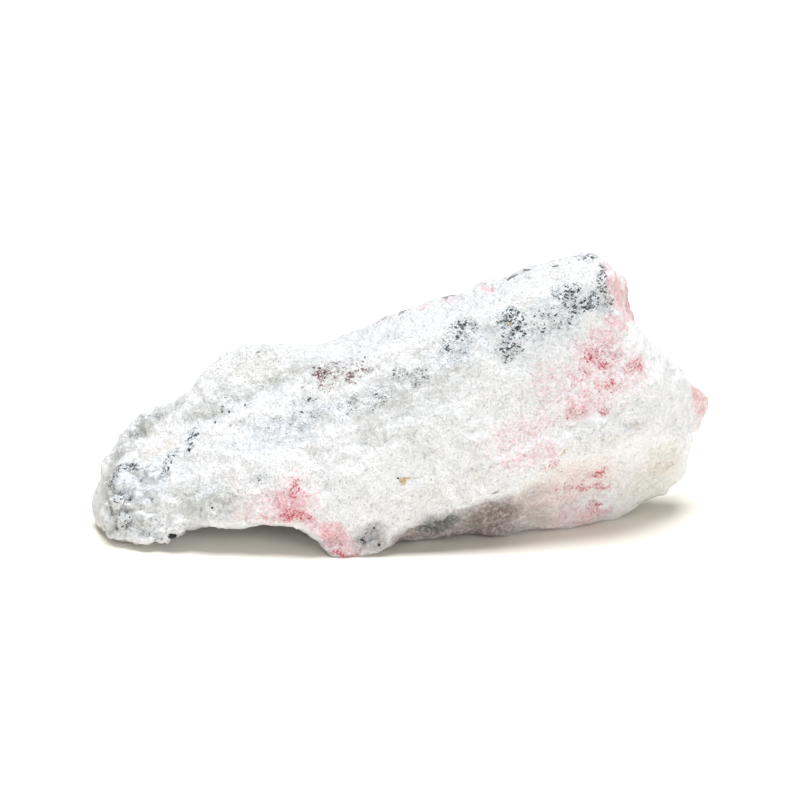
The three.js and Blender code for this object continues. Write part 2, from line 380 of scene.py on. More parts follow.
# A patch is an ellipse on the stone, facing the front and leaning back by PATCH_LEAN.
# Patches on the front are told as they are seen from CAMERA_AT, in a view VIEW_WIDE across:
# how far across and down their middle is, half their length, half their height, their tilt
# in degrees (anticlockwise) and their strength.

VIEW_WIDE = 800
VIEW_AWAY = VIEW_WIDE * LENS / SENSOR  # how far from the camera it is, in its own measure
VIEW_PER_MM = 9.6  # how much of the view a millimetre takes up, as far off as the stone is
DRAWN_IN = 0.01  # how far a place off the stone is drawn in at each try
PATCH_LEAN = math.radians(16)
PATCH_DEPTH = 3.5  # how far behind or before its ellipse a patch reaches
PATCH_EDGE = (0.35, 1.35)  # where a patch starts to fade and ends, as parts of its size
WOBBLE = 0.55
WOBBLE_SIZE = 1.6
WOBBLE_SEED = 1  # not 0, which would take a new seed from the clock
TOP_SHADE_SLOPES = (0.55, 1.0)  # how much a face looks up where the painted shade on what faces up starts and is whole

PINK = {
    "arch halo": (275, 507, 40, 24, 8, 0.48),
    "arch left": (250, 516, 22, 9, 0, 0.45),
    "arch trace": (237, 484, 9, 11, 0, 0.3),
    "arch right": (312, 500, 14, 22, 0, 0.45),
    "foot": (335, 537, 29, 16, -38, 0.85),
    "foot tip": (343, 553, 20, 6, -5, 0.9),
    "shoulder": (598, 372, 46, 46, 0, 0.5),
    "shoulder top": (603, 338, 24, 13, 0, 0.55),
    "shoulder right": (636, 372, 18, 24, 0, 0.5),
    "shoulder low": (580, 408, 30, 16, 20, 0.55),
    "shoulder left fade": (554, 385, 34, 34, 0, 0.4),
    "peak side link": (618, 322, 22, 11, -10, 0.65),
    "peak side": (618, 293, 14, 34, 23, 0.85),
    "face fade": (520, 432, 55, 24, 25, 0.42),
    "face fade low": (530, 456, 42, 14, 20, 0.5),
    "undercut wash": (572, 488, 70, 38, 8, 0.36),
    "rim blush": (665, 350, 20, 9, -40, 0.3),
    "nub": (702, 402, 16, 34, 0, 0.62),
    "nub top": (701, 390, 12, 14, 0, 0.85),
    "crest knob": (488, 288, 15, 6, -8, 0.6),
    "crest rim": (432, 304, 36, 2.5, 20, 0.45),
    "crest rim left": (380, 321, 12, 3, 45, 0.6),
    "arch core": (291, 505, 26, 23, 0, 0.85),
    "undercut edge": (575, 512, 44, 9, 8, 0.5),
    "arch to foot": (308, 520, 16, 12, -40, 0.75),
    "peak side rim": (628, 300, 13, 28, 14, 0.9),
    "arch top halo": (292, 480, 20, 14, 0, 0.4),
    "undercut low": (590, 516, 36, 10, 8, 0.55),
}
RED = {
    "arch": (295, 516, 21, 9, -5, 0.8),
    "arch left": (272, 520, 18, 7, 0, 0.5),
    "arch top": (294, 487, 9, 16, 0, 0.75),
    "arch spread": (288, 508, 32, 20, 0, 0.32),
    "foot": (330, 534, 22, 10, -42, 0.4),
    "foot tip": (338, 554, 18, 5, -5, 0.85),
    "shoulder middle": (596, 361, 18, 7, -22, 0.8),
    "shoulder upper": (603, 352, 30, 16, 0, 0.55),
    "shoulder right": (634, 366, 16, 9, 40, 0.65),
    "shoulder heart": (610, 384, 16, 14, 0, 0.65),
    "shoulder low": (602, 410, 9, 6, -15, 0.65),
    "shoulder low left": (576, 414, 16, 7, 30, 0.55),
    "shoulder spread": (598, 378, 40, 36, 0, 0.46),
    "undercut left": (552, 463, 14, 8, 25, 0.6),
    "undercut right": (601, 470, 12, 7, 30, 0.7),
    "undercut streak": (575, 488, 38, 4, -3, 0.7),
    "undercut streak right": (600, 487, 14, 6, 0, 0.7),
    "undercut base": (592, 506, 12, 9, 0, 0.7),
    "undercut end": (600, 512, 16, 6, 10, 0.5),
    "undercut spread": (580, 487, 46, 26, 0, 0.35),
    "nub": (700, 395, 10, 12, 0, 0.2),
    "arch column": (300, 503, 8, 13, 0, 0.5),
}
MAROON = {
    "trough left": (321, 374, 13, 7, 10, 1),
    "trough middle": (336, 362, 10, 4, 20, 0.8),
    "trough right": (350, 379, 9, 6, 0, 0.9),
    "trough end": (368, 369, 14, 5, 10, 0.75),
    "trough low": (326, 386, 12, 4, 0, 0.6),
    "trough spread": (334, 372, 40, 14, 5, 0.6),
    "crest rim": (381, 320, 13, 1.5, 45, 0.9),
    "crest rim dash": (402, 300, 6, 1.5, 20, 0.6),
    "crest rim end": (450, 297, 10, 1.5, 15, 0.6),
    "crest knob line": (486, 283, 16, 1.5, -5, 0.5),
}
FLAKES = {
    "peak tip": (592, 257, 18, 4, 4, 0.85),
    "peak column": (603, 280, 9, 21, -6, 0.95),
    "peak side": (608, 297, 7, 12, -10, 0.6),
    "peak right": (588, 303, 18, 10, 20, 0.9),
    "peak left": (567, 293, 19, 12, 15, 0.85),
    "peak low": (560, 311, 32, 10, 15, 0.7),
    "band": (540, 322, 66, 20, 18, 0.48),
    "band left": (455, 345, 30, 22, 25, 0.4),
    "middle": (509, 319, 20, 11, 15, 0.85),
    "middle link": (517, 334, 12, 8, 0, 0.85),
    "middle low": (511, 347, 20, 10, 15, 0.9),
    "middle foot": (507, 358, 8, 4, 0, 0.85),
    "left of middle": (464, 329, 20, 10, 25, 0.8),
    "left column": (447, 345, 11, 14, 20, 0.58),
    "left base": (458, 360, 24, 7, 12, 0.42),
    "olive right": (421, 377, 15, 13, 30, 0.5),
    "olive": (399, 375, 14, 8, 0, 0.55),
    "olive low": (379, 399, 18, 9, -10, 0.5),
    "slope dots": (343, 421, 12, 6, 20, 0.45),
    "slope": (362, 402, 48, 20, 20, 0.4),
    "slope left": (300, 420, 48, 20, 20, 0.38),
    "trough dots": (305, 400, 22, 8, 20, 0.4),
    "trough left": (226, 399, 18, 6, 15, 0.35),
    "left streak": (191, 436, 5, 9, -40, 1),
    "left streak low": (190, 448, 10, 5, 50, 0.9),
    "left dots": (172, 458, 14, 5, 45, 0.75),
    "left line": (165, 469, 3, 9, 0, 1),
    "end top": (132, 468, 19, 4, 0, 0.85),
    "end corner": (117, 475, 4, 9, 10, 0.9),
    "end rim": (112, 484, 5, 9, -30, 1),
    "end middle": (121, 497, 15, 11, -10, 0.85),
    "end spread": (135, 490, 36, 28, 0, 0.22),
    "end low": (148, 498, 13, 7, -30, 0.4),
    "end base": (120, 520, 22, 13, 0, 0.5),
    "end foot": (146, 534, 16, 4, 0, 0.65),
    "foot": (366, 538, 11, 11, 0, 0.5),
    "foot right": (378, 526, 11, 6, 25, 0.3),
    "face dots": (262, 480, 18, 7, 30, 0.35),
    "face dots low": (222, 498, 9, 6, 0, 0.35),
    "right face": (588, 446, 6, 12, -15, 0.3),
    "right face dot": (631, 427, 8, 6, 0, 0.4),
    "crest": (395, 338, 24, 8, 10, 0.2),
    "band low": (535, 338, 40, 8, 18, 0.35),
    "peak foot": (609, 312, 8, 8, 0, 0.45),
    "undercut dots": (575, 505, 30, 14, 0, 0.22),
    "rind": (148, 422, 30, 6, 42, 0.3),
    "middle specks": (430, 395, 70, 36, 25, 0.17),
    "face specks": (340, 445, 74, 34, 15, 0.12),
    "trough specks": (262, 400, 50, 14, 22, 0.16),
}
# Grey patches: the rock's own grey, and painted shade at the trough, the underside, the lower
# left, the end base and the hump.
GREY_AND_SHADE = {
    "end side": (112, 470, 8, 36, -22, 0.7),
    "end side top": (142, 428, 34, 8, 42, 0.65),
    "end shoulder": (172, 407, 22, 5, 35, 0.5),
    "trough left": (205, 412, 26, 10, 20, 0.45),
    "trough blue": (219, 411, 16, 9, 0, 0.6),
    "trough": (262, 386, 46, 11, 22, 0.5),
    "trough right": (305, 366, 28, 10, 25, 0.35),
    "hump notch": (224, 386, 12, 8, 20, 0.4),
    "end base": (120, 522, 34, 16, 0, 0.35),
    "peak side": (606, 300, 12, 26, -5, 0.45),
    "foot side": (376, 533, 16, 9, 30, 0.35),
    "face": (410, 390, 60, 34, 20, 0.3),
    "face right": (590, 442, 30, 16, 10, 0.1),
    "underside": (438, 523, 24, 13, 10, 0.9),
    "crest rim": (518, 274, 18, 3, 24, 0.4),
    "lower left": (208, 500, 40, 24, -10, 0.65),
    "hump": (260, 362, 40, 20, 15, 0.2),
    "trough middle": (336, 372, 34, 14, 5, 0.3),
    "olive a": (326, 418, 9, 9, 20, 0.4),
    "olive b": (364, 440, 10, 12, 0, 0.35),
    "olive c": (384, 438, 6, 5, 0, 0.35),
    "olive d": (278, 444, 6, 5, 0, 0.3),
    "right undercut": (655, 470, 40, 26, 30, 0.15),
}
# Brown on the underside and by the foot: partly the rock's own brown-grey grains, partly
# painted shade where the stone overhangs the floor.
BROWN_AND_SHADE = {
    "underside left": (436, 525, 36, 20, 10, 0.95),
    "underside right": (492, 518, 46, 25, 8, 0.95),
    "underside top": (530, 495, 28, 8, 20, 0.4),
    "foot side": (400, 539, 32, 10, 28, 0.9),
    "underside edge": (480, 531, 60, 12, 4, 0.9),
    "underside far": (532, 514, 26, 16, 0, 0.45),
    "foot grain": (370, 541, 18, 14, 0, 0.7),
    "foot grain top": (374, 530, 14, 8, 0, 0.35),
}
TAN = {
    "right undercut": (652, 478, 46, 36, 35, 0.8),
    "right undercut top": (600, 445, 40, 12, 10, 0.35),
    "right stain": (640, 427, 9, 6, 0, 0.7),
    "right band": (662, 452, 24, 12, 20, 0.65),
    "left stain": (160, 448, 24, 6, 28, 0.7),
    "left stain top": (180, 432, 12, 4, 25, 0.3),
    "left pale": (150, 432, 26, 14, 35, 0.35),
    "hump": (255, 368, 42, 26, 15, 0.3),
    "face low": (455, 490, 60, 18, 22, 0.4),
    "face low left": (400, 505, 40, 18, 15, 0.35),
    "undercut": (566, 486, 74, 40, 8, 0.6),
    "right edge": (640, 500, 40, 13, 28, 0.9),
}
BLUE = {
    "slope left": (280, 430, 64, 20, 18, 0.8),
    "end": (148, 480, 40, 22, 20, 0.6),
    "slope right": (470, 345, 40, 20, 20, 0.7),
    "peak": (570, 305, 42, 16, 12, 0.9),
    "middle": (500, 335, 30, 22, 15, 0.7),
    "under band": (548, 338, 50, 14, 18, 0.6),
    "shoulder left": (540, 365, 36, 20, 10, 0.35),
}
OCHRE = {
    "fleck": (403, 481, 4.2, 3.4, -60, 0.85),
    "fleck tail": (407, 478, 4.2, 1.3, 5, 0.7),
    "peak dot": (511, 323, 1.5, 1.3, 0, 1),
    "brown streak": (563, 453, 4.6, 1.7, 50, 0.5),
    "crest brown": (400, 318, 1.6, 1.1, 50, 0.5),
    "right tan": (662, 452, 7, 3, 25, 0.22),
}
DUSKY_STAIN = {
    "undercut": (566, 490, 70, 38, 8, 0.6),
    "undercut edge": (575, 522, 66, 14, 6, 0.9),
    "undercut far": (630, 474, 40, 26, 20, 0.25),
    "halo": (240, 505, 26, 16, 0, 0.35),
}
RIMS = {
    "crest line": (509, 279, 9, 0.7, 30, 0.9),
    "crest line right": (527, 270, 9, 0.65, 12, 0.85),
    "peak dash": (556, 266, 5, 0.6, 12, 0.8),
    "crest left a": (384, 318, 5, 1.3, 50, 0.95),
    "crest left b": (393, 309, 6, 1.2, 35, 0.8),
    "crest middle": (405, 304, 7, 1, 12, 0.55),
    "crest maroon": (448, 297, 9, 1, 10, 0.6),
    "hump dash": (258, 352, 2.8, 0.8, 20, 0.8),
    "right ledge": (652, 486, 20, 0.6, 27, 0.18),
    "right ledge top": (657, 465, 12, 0.6, 30, 0.15),
    "right edge": (640, 504, 17, 0.8, 12, 0.35),
}
SPOTS = {
    "trough a": (223, 406, 1.05, 1.05, 0, 1),
    "trough b": (222, 412, 1.2, 1, 30, 1),
    "trough c": (229, 412, 1, 1, 0, 1),
    "trough d": (215, 422, 1, 1, 0, 1),
    "trough e": (245, 405, 1, 1, 0, 0.8),
    "crest gold": (365, 357, 1, 1, 0, 0.8),
    "end base": (172, 537, 4, 3.5, 0, 1),
    "by the fleck": (398, 478, 1.1, 1.1, 0, 1),
    "green dash": (496, 493, 3.6, 0.9, 12, 0.55),
    "dark crystal": (518, 328, 3.2, 2, 10, 0.85),
    "slate crystal": (590, 306, 3.5, 2.2, -30, 0.6),
    "left speck": (212, 508, 1, 1, 0, 1),
    "foot spot": (379, 545, 1.6, 1.2, 0, 0.9),
    "foot spot low": (374, 528, 1.3, 1.1, 0, 0.9),
}
# Patches on the back and the right side: the x, y, z of their middle, half their length and
# half their height, all in millimetres, then their tilt and their strength.
FAR_SIDES = {
    "pink": {
        "back blotch": (-6, 12.5, 9, 5, 3.2, -20, 0.5),
        "back blotch right": (16, 12.5, 15, 4, 2.5, -15, 0.4),
        "peak side middle": (23, 2.2, 22.5, 1.4, 3, 15, 0.6),
        "peak side back": (22.5, 7.5, 20.5, 2, 3.2, -20, 0.35),
    },
    "red": {"back": (-5, 12.5, 8.5, 2, 1.2, -20, 0.7)},
    "grey": {
        "back low": (-12, 9, 5, 8, 3, 0, 0.5),
        "back band": (8, 12.5, 12, 10, 2, -15, 0.4),
    },
    "brown": {"back foot": (4, 9, 2, 8, 1.5, 0, 0.5)},
    "tan": {"back": (2, 12.5, 6, 7, 3, 10, 0.5)},
    "flakes": {
        "back": (10, 12, 18, 6, 2, -18, 0.5),
        "back left": (-17, 10, 8, 4, 2, 20, 0.4),
    },
}
FIELDS = {"pink": PINK, "red": RED, "maroon": MAROON, "flakes": FLAKES, "grey": GREY_AND_SHADE,
          "brown": BROWN_AND_SHADE, "tan": TAN, "blue": BLUE, "dusky": DUSKY_STAIN}
# Where the surface is rougher, told as in FAR_SIDES.
KNOBBLY = {
    "left end": (-28.5, -7.5, 4, 5, 4.5, 0, 1),
    "left end base": (-25, -9.5, 2, 4, 2, 0, 1),
    "left rind": (-28, -1.5, 10.5, 5, 1.6, 42, 0.8),
    "foot": (-6, -12, 1, 4, 1.5, 0, 0.5),
    "underside": (8, -8, 3, 7, 2.5, 8, 0.7),
    "undercut": (19, -4.5, 4, 7, 3, 8, 0.4),
    "right face": (22, -5, 12, 5, 2.5, 10, 0.4),
}


def stone_net(node):
    """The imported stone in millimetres, ready for lines of sight to be cast at it."""
    places = [node.matrix_world @ vertex.co * MILLIMETRES for vertex in node.data.vertices]
    return BVHTree.FromPolygons(places, [face.vertices for face in node.data.polygons])


def place_seen(net, across, down):
    """Where the stone is met at one place in the view.  A place just off its outline is
    drawn in towards the middle of the view, which is on the stone, until it meets it."""
    right = across - VIEW_WIDE / 2
    up = VIEW_WIDE / 2 - down
    turn = Euler((math.radians(90 - CAMERA_DOWN), 0, 0)).to_matrix()
    while True:
        line = turn @ Vector((right, up, -VIEW_AWAY))
        place = net.ray_cast(Vector(CAMERA_AT), line.normalized())[0]
        if place:
            return place
        right *= 1 - DRAWN_IN
        up *= 1 - DRAWN_IN


def on_stone(net, patches):
    """Patches told as they are seen, in millimetres on the stone."""
    laid = {}
    for name, (across, down, half_length, half_height, tilt, strength) in patches.items():
        laid[name] = (*place_seen(net, across, down), half_length / VIEW_PER_MM,
                      half_height / VIEW_PER_MM, tilt, strength)
    return laid


def smooth_step(values, start, end):
    """From 0 to 1 as the values go from start to end, level at both ends."""
    part = np.clip((values - start) / (end - start), 0, 1)
    return part * part * (3 - 2 * part)


def patch_field(places, patches):
    """How strong a field is at each point: as strong as the strongest of its patches."""
    field = np.zeros(len(places))
    for x, y, z, half_length, half_height, tilt, strength in patches.values():
        off = places - np.array((x, y, z))
        across = off[:, 0]
        upwards = off[:, 2] * math.cos(PATCH_LEAN) + off[:, 1] * math.sin(PATCH_LEAN)
        depth = off[:, 1] * math.cos(PATCH_LEAN) - off[:, 2] * math.sin(PATCH_LEAN)
        turn = math.radians(tilt)
        along = across * math.cos(turn) + upwards * math.sin(turn)
        beside = upwards * math.cos(turn) - across * math.sin(turn)
        reach = np.sqrt((along / half_length) ** 2 + (beside / half_height) ** 2
                        + (depth / PATCH_DEPTH) ** 2)
        inside = 1 - smooth_step(reach, *PATCH_EDGE)
        field = np.maximum(field, strength * inside)
    return field


def wobbled(places, size, by):
    """The points moved a little by noise, so that a patch has an uneven edge."""
    noise.seed_set(WOBBLE_SEED)
    moves = [noise.noise_vector(Vector(place) / size) for place in places]
    return places + by * np.array(moves)


def store(mesh, name, values):
    """One value for each point, under a name that the materials and nodes can read."""
    layer = mesh.attributes.new(name, "FLOAT", "POINT")
    layer.data.foreach_set("value", values)


def lay_fields(mesh, fields):
    """Each field of patches stored on the mesh, with uneven edges."""
    places = points_of(mesh) * MILLIMETRES
    loose = wobbled(places, WOBBLE_SIZE, WOBBLE)
    for name, patches in fields.items():
        store(mesh, name, patch_field(loose, patches))


def lay_top_shade(mesh):
    """Painted shade that dulls what faces up, stored under the name dust."""
    normals = np.empty(len(mesh.vertices) * 3)
    mesh.vertex_normals.foreach_get("vector", normals)
    store(mesh, "dust", smooth_step(normals[2::3], *TOP_SHADE_SLOPES))


# ---------------------------------------------------------------- finishes


def colour(code):
    """Linear red, green and blue, and full alpha, of a six-digit colour code.  The numbers
    are those of the sRGB standard."""
    parts = [int(code[start:start + 2], 16) / 255 for start in (0, 2, 4)]
    return [part / 12.92 if part <= 0.04045 else ((part + 0.055) / 1.055) ** 2.4
            for part in parts] + [1.0]


WHITE = colour("FBFCFD")
COOL_GREY = colour("DEE3E7")
BLUE_WHITE = colour("E4EAF1")
GREEN_GREY = colour("999D92")
WARM_GREY = colour("8F8883")
CREAM = colour("F7F5EC")
PEACH = colour("EFE2D2")
PALE_ROSE = colour("FFE8EC")
ROSE = colour("EDAFB6")
SALMON = colour("EC9AA2")
CRIMSON = colour("C32D44")
DUSKY = colour("ECDBD5")
MAROON_RED = colour("6E3539")
SMOKE = colour("C8D1D8")
FLAKE_BLUE = colour("58666F")
FLAKE_BLACK = colour("10171A")
# The brown and the grey of the underside, partly painted shade.
UNDER_SHADE_BROWN = colour("8A746A")
UNDER_SHADE_GREY = colour("66665E")
OCHRE_BROWN = colour("D2B57E")
RIM_GREY = colour("6B6462")
PAPER_WHITE = colour("FAF6ED")
PAPER_ROUGHNESS = 0.9

# The levels of their noise above which flecks show, at a density of 0 and of 1.
RARE_LEVEL = 0.76
FULL_LEVEL = 0.48
FLECK_EDGE = 0.045
LEAST_DENSITY = 0.02
PLATE_EDGE = (0.55, 0.42)  # how far from a plate's middle it ends and is whole
PLATE_SHRINK = 0.3  # how much nearer its middle the smallest plate ends
MARK_EDGE = (1.2, 0.8)  # where a mark ends and is whole, as parts of its size
MARK_DEPTH = 0.15  # how much depth counts in a mark, against its length


def sprinkle_group(name):
    """The start of a group that scatters small things, Length by Width, over the rock."""
    tree, given, out = new_group(
        "ShaderNodeTree", name,
        [("Position", "NodeSocketVector", None), ("Length", "NodeSocketFloat", 0.5),
         ("Width", "NodeSocketFloat", 0.2), ("Tilt", "NodeSocketFloat", 0.6),
         ("Density", "NodeSocketFloat", 0.5)],
        [("Mask", "NodeSocketFloat")])
    at = stretched(tree, given["Position"], given["Tilt"],
                   given["Length"], given["Length"], given["Width"])
    return tree, given, out, at


def fleck_group():
    """Ragged thin flecks that lean one way; Density says how much they cover."""
    tree, given, out, at = sprinkle_group("flecks")
    speckle = add(tree, "ShaderNodeTexNoise",
                  {"Vector": at, "Scale": 1.0, "Detail": 2.0, "Roughness": 0.6,
                   "Distortion": 0.4}).outputs[0]
    start = sums(tree, "SUBTRACT", RARE_LEVEL,
                 sums(tree, "MULTIPLY", given["Density"], RARE_LEVEL - FULL_LEVEL))
    above = sums(tree, "SUBTRACT", speckle, start)
    there = sums(tree, "GREATER_THAN", given["Density"], LEAST_DENSITY)
    shape = ramp(tree, above, 0.0, FLECK_EDGE)
    tree.links.new(sums(tree, "MULTIPLY", there, shape), out["Mask"])
    return tree


def plate_group():
    """Separate ragged plates; Density says how many."""
    tree, given, out, at = sprinkle_group("plates")
    warp = add(tree, "ShaderNodeTexNoise", {"Vector": given["Position"], "Scale": 3.0,
                                            "Detail": 3.0,
                                            "Roughness": 0.7}).outputs["Color"]
    plate = cells(tree, arrows(tree, "ADD", at, centred(tree, warp)))
    chance = add(tree, "ShaderNodeSeparateColor", {"Color": plate["Color"]}).outputs
    there = sums(tree, "LESS_THAN", chance["Red"], given["Density"])
    reach = sums(tree, "ADD", plate["Distance"],
                 sums(tree, "MULTIPLY", chance["Green"], PLATE_SHRINK))
    shape = ramp(tree, reach, *PLATE_EDGE)
    tree.links.new(sums(tree, "MULTIPLY", there, shape), out["Mask"])
    return tree


def mark_group():
    """One small ragged mark at a named place, seen from the front."""
    tree, given, out = new_group(
        "ShaderNodeTree", "mark",
        [("Position", "NodeSocketVector", None), ("Middle", "NodeSocketVector", None),
         ("Half Length", "NodeSocketFloat", 0.3), ("Half Height", "NodeSocketFloat", 0.3),
         ("Tilt", "NodeSocketFloat", 0.0), ("Ragged", "NodeSocketFloat", 0.0)],
        [("Mask", "NodeSocketFloat")])
    offset = arrows(tree, "SUBTRACT", given["Position"], given["Middle"])
    offset = arrows(tree, "MULTIPLY", offset, (1.0, MARK_DEPTH, 1.0))
    spread = stretched(tree, offset, given["Tilt"],
                       given["Half Length"], given["Half Height"], given["Half Height"])
    reach = sums(tree, "ADD", arrows(tree, "LENGTH", spread), given["Ragged"])
    tree.links.new(ramp(tree, reach, *MARK_EDGE), out["Mask"])
    return tree


def sugar_group():
    """The crystals of the rock: how light each is, and its height."""
    tree, given, out = new_group(
        "ShaderNodeTree", "sugar",
        [("Position", "NodeSocketVector", None), ("Size", "NodeSocketFloat", 0.3)],
        [("Tone", "NodeSocketFloat"), ("Height", "NodeSocketFloat")])
    at = arrows(tree, "SCALE", given["Position"],
                scale=sums(tree, "DIVIDE", 1.0, given["Size"]))
    cell = cells(tree, at)
    own = add(tree, "ShaderNodeSeparateColor", {"Color": cell["Color"]}).outputs
    tree.links.new(own["Red"], out["Tone"])
    tree.links.new(facets(tree, at, cell), out["Height"])
    return tree


FINE_CRYSTAL = 0.24
COARSE_CRYSTAL = 0.7
# The clouds that colours vary by: the size of their blobs, their detail and roughness.
CLOUDS = {
    "broad": (3.4, 3.0, 0.5),
    "mid": (1.1, 4.0, 0.65),
    "small": (0.42, 3.0, 0.7),
    "tiny": (0.16, 2.0, 0.6),
}
BEDDED_SQUEEZE = (0.35, 0.35, 1.5)  # which makes streaks long in the bedding, thin across
# The grey haze on the white: where in each cloud it starts and is whole, and its strength.
HAZE = {
    "broad": (0.42, 0.66, 0.12),
    "mid": (0.48, 0.7, 0.26),
    "streak": (0.48, 0.68, 0.26),
}
# What is sprinkled over the rock: the length and the width of one fleck or plate.
SPRINKLES = {
    "rosy": (0.32, 0.12),
    "crimson": (0.4, 0.14),
    "stray grey": (0.36, 0.13),
    "maroon plate": (0.55, 0.24),
    "maroon": (0.3, 0.13),
    "flake dust": (0.26, 0.1),
    "flake": (0.45, 0.15),
    "bold flake": (0.6, 0.23),
    "gap_shade": (0.5, 0.3),
    "glint": (0.4, 0.17),
}
# The two ways in degrees that flecks of each family lean.
PINK_TILTS = (50, -35)
FLAKE_TILTS = (38, -22)
GLINT_TILT = 65
BUMP_DEPTH = 0.3
# How much the painted shade on what faces up darkens it.
TOP_SHADE_DARKENS = 0.1
GLOW_DEPTH = 0.5  # how far light gets under the surface


def rock_finish(net):
    """The white rock, and over it each mineral and stain in turn."""
    material = bpy.data.materials.new("sugary_tugtupite_rock")
    material.use_nodes = True
    tree = material.node_tree
    tree.nodes.clear()
    place = tree.nodes.new("ShaderNodeTexCoord").outputs["Object"]
    at = arrows(tree, "SCALE", place, scale=MILLIMETRES)
    flecks = fleck_group()
    plates = plate_group()
    marks = mark_group()
    sugar = sugar_group()

    def field(name):
        return add(tree, "ShaderNodeAttribute", attribute_name=name).outputs["Fac"]

    def sprinkle(group, kind, tilt, density):
        """Where flecks or plates of one kind lie."""
        length, width = SPRINKLES[kind]
        return add(tree, "ShaderNodeGroup",
                   {"Position": at, "Length": length, "Width": width,
                    "Tilt": math.radians(tilt), "Density": density},
                   node_tree=group).outputs["Mask"]

    def marked(tone, patches, ragged, over):
        """The colour with small marks of the colour over laid on it, one by one."""
        for x, y, z, half_length, half_height, tilt, strength in patches.values():
            mask = add(tree, "ShaderNodeGroup",
                       {"Position": at, "Middle": (x, y, z), "Half Length": half_length,
                        "Half Height": half_height, "Tilt": math.radians(tilt),
                        "Ragged": ragged}, node_tree=marks).outputs["Mask"]
            tone = blend(tree, times(mask, strength), tone, over)
        return tone

    def crystals(size):
        return add(tree, "ShaderNodeGroup", {"Position": at, "Size": size},
                   node_tree=sugar).outputs

    def chain(operation, values):
        total, *others = values
        for value in others:
            total = sums(tree, operation, total, value)
        return total

    def times(*values):
        return chain("MULTIPLY", values)

    def plus(*values):
        return chain("ADD", values)

    fine = crystals(FINE_CRYSTAL)
    coarse = crystals(COARSE_CRYSTAL)
    broad, mid, small, tiny = (cloud(tree, at, *shape) for shape in CLOUDS.values())
    grey = field("grey")
    pink = field("pink")
    red = field("red")
    flakes = field("flakes")
    rough = field("knobbly")

    # Streaks that follow the bedding.
    bedded = add(tree, "ShaderNodeVectorRotate", {"Vector": at, "Rotation": BEDDING_TURN},
                 rotation_type="EULER_XYZ").outputs[0]
    bedded = arrows(tree, "MULTIPLY", bedded, BEDDED_SQUEEZE)
    streak = add(tree, "ShaderNodeTexNoise", {"Vector": bedded, "Scale": 1.4, "Detail": 5.0,
                                              "Roughness": 0.65}).outputs[0]

    # White rock with cool grey clouds and streaks.
    hazy = {"broad": broad, "mid": mid, "streak": streak}
    haze = plus(*(times(ramp(tree, hazy[name], start, whole), strength)
                  for name, (start, whole, strength) in HAZE.items()))
    tone = blend(tree, haze, WHITE, COOL_GREY)
    tone = blend(tree, times(field("blue"), ramp(tree, mid, 0.25, 0.6)), tone, BLUE_WHITE)
    tone = blend(tree, times(field("tan"), ramp(tree, mid, 0.3, 0.7, 0.5, 1.0)), tone,
                 blend(tree, ramp(tree, broad, 0.3, 0.7), CREAM, PEACH))
    tone = blend(tree, times(field("dusky"), ramp(tree, mid, 0.3, 0.65, 0.45, 1.0)), tone,
                 DUSKY)
    tone = blend(tree, times(grey, ramp(tree, small, 0.3, 0.65, 0.4, 1.0)), tone,
                 blend(tree, ramp(tree, streak, 0.3, 0.55), COOL_GREY, GREEN_GREY))

    # Pink tugtupite: a pale blush, rosy grains, and crimson flecks where it is richest.
    ragged = sums(tree, "SUBTRACT", plus(times(mid, 0.5), times(small, 0.5)), 0.5)
    blush = ramp(tree, plus(pink, times(ragged, 1.5)), 0.0, 0.85)
    blush = times(blush, sums(tree, "MULTIPLY", pink, 4.0, clamp=True))
    tone = blend(tree, times(blush, 0.85), tone, PALE_ROSE)
    grains = ramp(tree, plus(small, times(sums(tree, "SUBTRACT", blush, 0.5), 0.3)),
                  0.47, 0.66)
    tone = blend(tree, times(grains, blush, 0.5), tone, ROSE)
    stain = ramp(tree, plus(red, times(ragged, 1.8)), 0.25, 1.1)
    tone = blend(tree, times(stain, 0.5), tone, SALMON)
    core = ramp(tree, plus(red, times(ragged, 3.4)), 0.75, 1.7)
    tone = blend(tree, times(core, 0.5), tone, CRIMSON)
    for tilt in PINK_TILTS:
        rosy = sprinkle(flecks, "rosy", tilt, times(pink, plus(times(mid, 1.2), 0.15)))
        tone = blend(tree, times(rosy, 0.45), tone, CRIMSON)
        rich = sprinkle(flecks, "crimson", tilt, times(red, plus(times(mid, 1.2), 0.45)))
        tone = blend(tree, times(rich, 0.85), tone, CRIMSON)

    # Dull grains, grey painted shade in the hollows, and the underside in brown and grey,
    # partly its own colour and partly painted shade.
    dull = times(ramp(tree, fine["Tone"], 0.6, 1.0), ramp(tree, small, 0.4, 0.65))
    tone = blend(tree, times(dull, 0.4), tone, COOL_GREY)
    # Painted shade: the low places of the relief are greyed, more where it is rough.
    hollow_shade = ramp(tree, field("relief"), -0.05, -0.45)
    tone = blend(tree, times(hollow_shade, plus(times(rough, 0.5), 0.2)), tone, COOL_GREY)
    # Partly the rock's own colour and partly painted shade: the underside and the foot side
    # are laid brown and grey.
    under = times(field("brown"), ramp(tree, small, 0.35, 0.6, 0.6, 1.0))
    tone = blend(tree, under, tone,
                 blend(tree, ramp(tree, plus(grey, ragged), 0.25, 0.6),
                       UNDER_SHADE_BROWN, UNDER_SHADE_GREY))
